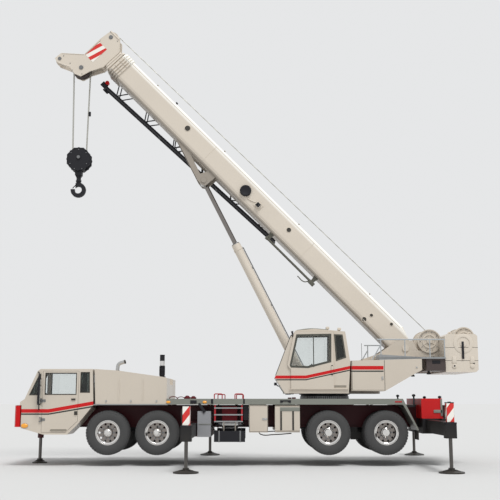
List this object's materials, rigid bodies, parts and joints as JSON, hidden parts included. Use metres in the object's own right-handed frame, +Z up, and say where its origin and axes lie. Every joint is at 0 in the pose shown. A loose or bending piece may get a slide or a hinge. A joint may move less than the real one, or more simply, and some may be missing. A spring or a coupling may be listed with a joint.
{
  "type": "mobile crane",
  "caption": "Truck crane on a carrier with a driving cab, slewing upper works, operator cab, telescopic boom, lattice extension, hook block and jacks on sliding beams.",
  "frame": {"origin": "centre of the bounding box on the ground under the outrigger floats", "axes": "+X forward along the carrier, +Y to the driver's left, +Z up"},
  "size_m": [11.415, 6.86, 11.5275],
  "materials": {
    "cream_paint": "gloss",
    "maroon_paint": "satin",
    "red_paint": "gloss",
    "deck_grey": "satin",
    "black_steel": "satin",
    "engine_iron": "matte",
    "glass": "gloss",
    "trim_plastic": "matte",
    "chrome_rod": "gloss",
    "wire_rope": "satin",
    "tyre_rubber": "matte",
    "rim_aluminium": "gloss",
    "jack_steel": "satin"
  },
  "bodies": {
    "carrier": {"chassis_frame": "maroon_paint", "deck": "deck_grey", "bumper": "red_paint", "carrier_cab": "cream_paint", "carrier_glass": "glass", "carrier_interior": "trim_plastic", "hood": "cream_paint", "drivetrain": "engine_iron", "side_equipment": "cream_paint", "axles": "black_steel"},
    "carrier_door": {"carrier_door": "cream_paint"},
    "upper": {"upper_frame": "cream_paint", "counterweight": "cream_paint", "operator_cab": "cream_paint", "operator_glass": "glass", "operator_interior": "trim_plastic", "winch_drums": "black_steel"},
    "operator_door": {"operator_door": "cream_paint"},
    "boom_foot_pin": {"boom_foot_pin": "black_steel"},
    "boom_base": {"boom_base": "cream_paint", "fly_jib": "black_steel"},
    "boom_mid_1": {"boom_mid_1": "cream_paint"},
    "boom_mid_2": {"boom_mid_2": "cream_paint"},
    "boom_tip": {"boom_tip": "cream_paint"},
    "head_sheaves": {"head_sheaves": "black_steel"},
    "hoist_falls": {"hoist_falls": "wire_rope"},
    "hook_block": {"hook_block": "black_steel"},
    "lift_foot_pin": {"lift_foot_pin": "black_steel"},
    "lift_barrel": {"lift_barrel": "cream_paint"},
    "lift_piston": {"lift_piston": "black_steel"},
    "lift_rod": {"lift_rod": "chrome_rod"},
    "front_left_knuckle": {"front_left_knuckle": "black_steel"},
    "front_right_knuckle": {"front_right_knuckle": "black_steel"},
    "second_left_knuckle": {"second_left_knuckle": "black_steel"},
    "second_right_knuckle": {"second_right_knuckle": "black_steel"},
    "front_left_wheel": {"front_left_tyre": "tyre_rubber", "front_left_rim": "rim_aluminium"},
    "front_right_wheel": {"front_right_tyre": "tyre_rubber", "front_right_rim": "rim_aluminium"},
    "second_left_wheel": {"second_left_tyre": "tyre_rubber", "second_left_rim": "rim_aluminium"},
    "second_right_wheel": {"second_right_tyre": "tyre_rubber", "second_right_rim": "rim_aluminium"},
    "third_left_wheel": {"third_left_tyre": "tyre_rubber", "third_left_rim": "rim_aluminium"},
    "third_right_wheel": {"third_right_tyre": "tyre_rubber", "third_right_rim": "rim_aluminium"},
    "fourth_left_wheel": {"fourth_left_tyre": "tyre_rubber", "fourth_left_rim": "rim_aluminium"},
    "fourth_right_wheel": {"fourth_right_tyre": "tyre_rubber", "fourth_right_rim": "rim_aluminium"},
    "front_left_beam": {"front_left_beam": "black_steel"},
    "front_left_jack": {"front_left_jack": "jack_steel"},
    "front_right_beam": {"front_right_beam": "black_steel"},
    "front_right_jack": {"front_right_jack": "jack_steel"},
    "rear_left_beam": {"rear_left_beam": "black_steel"},
    "rear_left_jack": {"rear_left_jack": "jack_steel"},
    "rear_right_beam": {"rear_right_beam": "black_steel"},
    "rear_right_jack": {"rear_right_jack": "jack_steel"},
    "nose_jack": {"nose_jack": "jack_steel"}
  },
  "joints": [
    {"name": "front_left_steer", "type": "hinge", "parent": "carrier", "child": "front_left_knuckle", "pos_m": [3.38, 0.88, 0.79], "axis": [0, 0, 1], "range_deg": [-32, 32]},
    {"name": "front_right_steer", "type": "hinge", "parent": "carrier", "child": "front_right_knuckle", "pos_m": [3.38, -0.88, 0.79], "axis": [0, 0, 1], "range_deg": [-32, 32]},
    {"name": "second_left_steer", "type": "hinge", "parent": "carrier", "child": "second_left_knuckle", "pos_m": [2.19, 0.88, 0.79], "axis": [0, 0, 1], "range_deg": [-23.04, 23.04]},
    {"name": "second_right_steer", "type": "hinge", "parent": "carrier", "child": "second_right_knuckle", "pos_m": [2.19, -0.88, 0.79], "axis": [0, 0, 1], "range_deg": [-23.04, 23.04]},
    {"name": "front_left_spin", "type": "hinge", "parent": "front_left_knuckle", "child": "front_left_wheel", "pos_m": [3.38, 1.105, 0.79], "axis": [0, 1, 0], "continuous": true},
    {"name": "front_right_spin", "type": "hinge", "parent": "front_right_knuckle", "child": "front_right_wheel", "pos_m": [3.38, -1.105, 0.79], "axis": [0, 1, 0], "continuous": true},
    {"name": "second_left_spin", "type": "hinge", "parent": "second_left_knuckle", "child": "second_left_wheel", "pos_m": [2.19, 1.105, 0.79], "axis": [0, 1, 0], "continuous": true},
    {"name": "second_right_spin", "type": "hinge", "parent": "second_right_knuckle", "child": "second_right_wheel", "pos_m": [2.19, -1.105, 0.79], "axis": [0, 1, 0], "continuous": true},
    {"name": "third_left_spin", "type": "hinge", "parent": "carrier", "child": "third_left_wheel", "pos_m": [-1.94, 1.105, 0.79], "axis": [0, 1, 0], "continuous": true},
    {"name": "third_right_spin", "type": "hinge", "parent": "carrier", "child": "third_right_wheel", "pos_m": [-1.94, -1.105, 0.79], "axis": [0, 1, 0], "continuous": true},
    {"name": "fourth_left_spin", "type": "hinge", "parent": "carrier", "child": "fourth_left_wheel", "pos_m": [-3.33, 1.105, 0.79], "axis": [0, 1, 0], "continuous": true},
    {"name": "fourth_right_spin", "type": "hinge", "parent": "carrier", "child": "fourth_right_wheel", "pos_m": [-3.33, -1.105, 0.79], "axis": [0, 1, 0], "continuous": true},
    {"name": "front_left_beam_out", "type": "slide", "parent": "carrier", "child": "front_left_beam", "axis": [0, 1, 0], "range_m": [-2, 0]},
    {"name": "front_left_jack_down", "type": "slide", "parent": "front_left_beam", "child": "front_left_jack", "axis": [0, 0, -1], "range_m": [-0.5, 0]},
    {"name": "front_right_beam_out", "type": "slide", "parent": "carrier", "child": "front_right_beam", "axis": [0, -1, 0], "range_m": [-2, 0]},
    {"name": "front_right_jack_down", "type": "slide", "parent": "front_right_beam", "child": "front_right_jack", "axis": [0, 0, -1], "range_m": [-0.5, 0]},
    {"name": "rear_left_beam_out", "type": "slide", "parent": "carrier", "child": "rear_left_beam", "axis": [0, 1, 0], "range_m": [-2, 0]},
    {"name": "rear_left_jack_down", "type": "slide", "parent": "rear_left_beam", "child": "rear_left_jack", "axis": [0, 0, -1], "range_m": [-0.5, 0]},
    {"name": "rear_right_beam_out", "type": "slide", "parent": "carrier", "child": "rear_right_beam", "axis": [0, -1, 0], "range_m": [-2, 0]},
    {"name": "rear_right_jack_down", "type": "slide", "parent": "rear_right_beam", "child": "rear_right_jack", "axis": [0, 0, -1], "range_m": [-0.5, 0]},
    {"name": "nose_jack_down", "type": "slide", "parent": "carrier", "child": "nose_jack", "axis": [0, 0, -1], "range_m": [-0.5, 0]},
    {"name": "carrier_door_open", "type": "hinge", "parent": "carrier", "child": "carrier_door", "pos_m": [4.988, 1.26, 1.325], "axis": [0, 0, -1], "range_deg": [0, 70]},
    {"name": "swing", "type": "hinge", "parent": "carrier", "child": "upper", "pos_m": [-1.95, 0, 1.7], "axis": [0, 0, 1], "continuous": true},
    {"name": "operator_door_slide", "type": "slide", "parent": "upper", "child": "operator_door", "axis": [-1, 0, 0], "range_m": [0, 0.85]},
    {"name": "boom_lowering", "type": "hinge", "parent": "upper", "child": "boom_foot_pin", "pos_m": [-4.002, 0, 2.865], "axis": [0, -1, 0], "range_deg": [-45.4, 0]},
    {"name": "boom_raising", "type": "hinge", "parent": "boom_foot_pin", "child": "boom_base", "pos_m": [-4.002, 0, 2.865], "axis": [0, -1, 0], "range_deg": [0, 32.6]},
    {"name": "boom_extend_1", "type": "slide", "parent": "boom_base", "child": "boom_mid_1", "axis": [0.7022, 0, 0.712], "range_m": [0, 8]},
    {"name": "boom_extend_2", "type": "slide", "parent": "boom_mid_1", "child": "boom_mid_2", "axis": [0.7022, 0, 0.712], "range_m": [0, 8]},
    {"name": "boom_extend_3", "type": "slide", "parent": "boom_mid_2", "child": "boom_tip", "axis": [0.7022, 0, 0.712], "range_m": [0, 8]},
    {"name": "falls_hang_low", "type": "hinge", "parent": "boom_tip", "child": "head_sheaves", "pos_m": [4.53583, 0, 10.45901], "axis": [0, 1, 0], "range_deg": [-45.4, 0]},
    {"name": "falls_hang_high", "type": "hinge", "parent": "head_sheaves", "child": "hoist_falls", "pos_m": [4.53583, 0, 10.45901], "axis": [0, 1, 0], "range_deg": [0, 32.6]},
    {"name": "hoist", "type": "slide", "parent": "hoist_falls", "child": "hook_block", "axis": [0, 0, -1], "range_m": [-1.5, 5.2], "deforming": ["hoist_falls"]},
    {"name": "lift_tilt_low", "type": "hinge", "parent": "upper", "child": "lift_foot_pin", "pos_m": [-1.535, 0, 1.9], "axis": [0, -1, 0], "range_deg": [-58.22, 0]},
    {"name": "lift_tilt_high", "type": "hinge", "parent": "lift_foot_pin", "child": "lift_barrel", "pos_m": [-1.535, 0, 1.9], "axis": [0, -1, 0], "range_deg": [0, 30.49]},
    {"name": "lift_stroke_low", "type": "slide", "parent": "lift_barrel", "child": "lift_piston", "axis": [0.4495, 0, 0.8933], "range_m": [-1.6979, 0]},
    {"name": "lift_stroke_high", "type": "slide", "parent": "lift_piston", "child": "lift_rod", "axis": [0.4495, 0, 0.8933], "range_m": [0, 1.4662]}
  ],
  "couplings": [
    {"joint": "front_right_steer", "follows": "front_left_steer", "ratio": 1},
    {"joint": "second_left_steer", "follows": "front_left_steer", "ratio": 0.72},
    {"joint": "second_right_steer", "follows": "front_left_steer", "ratio": 0.72},
    {"joint": "boom_extend_2", "follows": "boom_extend_1", "ratio": 1},
    {"joint": "boom_extend_3", "follows": "boom_extend_1", "ratio": 1},
    {"joint": "falls_hang_low", "follows": "boom_lowering", "ratio": 1},
    {"joint": "falls_hang_high", "follows": "boom_raising", "ratio": 1},
    {"joint": "lift_tilt_low", "follows": "boom_lowering", "ratio": 1.2813},
    {"joint": "lift_tilt_high", "follows": "boom_raising", "ratio": 0.93386},
    {"joint": "lift_stroke_low", "follows": "boom_lowering", "m_per_rad": 2.1415},
    {"joint": "lift_stroke_high", "follows": "boom_raising", "m_per_rad": 2.5752}
  ]
}
